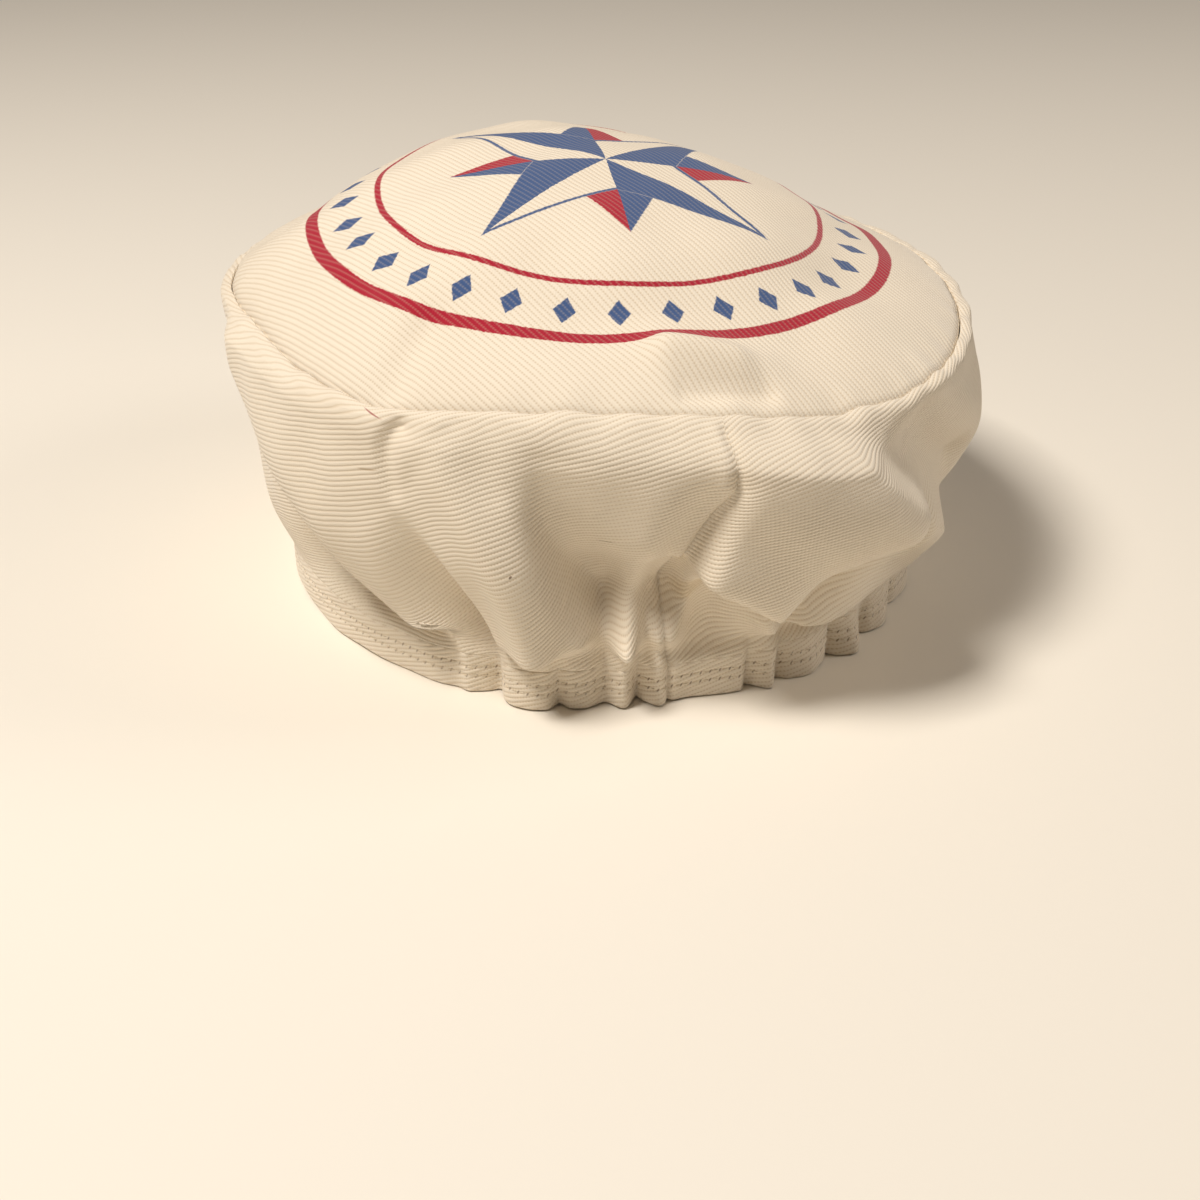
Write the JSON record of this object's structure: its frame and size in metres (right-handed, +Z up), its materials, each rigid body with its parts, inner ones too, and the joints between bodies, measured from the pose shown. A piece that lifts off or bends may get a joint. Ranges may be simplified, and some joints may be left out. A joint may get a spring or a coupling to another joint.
{
  "type": "painter cap",
  "caption": "Soft cotton drill cap with a broad oval crown panel, a deep puffed side band gathered at the back into a narrow hem, and a short arched peak in front.",
  "frame": {"origin": "centre of the head opening, on the plane where the rim rests", "axes": "+Y from the gathered back towards the peak, +Z up through the crown, +X to the wearer's right"},
  "size_m": [0.2134, 0.2779, 0.1217],
  "materials": {
    "crown_drill": "off-white cotton drill, with a plain red and blue print",
    "side_drill": "off-white cotton drill, soft creases",
    "hem_drill": "off-white cotton drill, turned up and double stitched",
    "peak_drill": "off-white cotton drill over a stiff core, row stitched"
  },
  "bodies": {
    "root": {"crown_top": "crown_drill", "side_band": "side_drill", "rim_hem": "hem_drill", "peak": "peak_drill"}
  },
  "joints": []
}
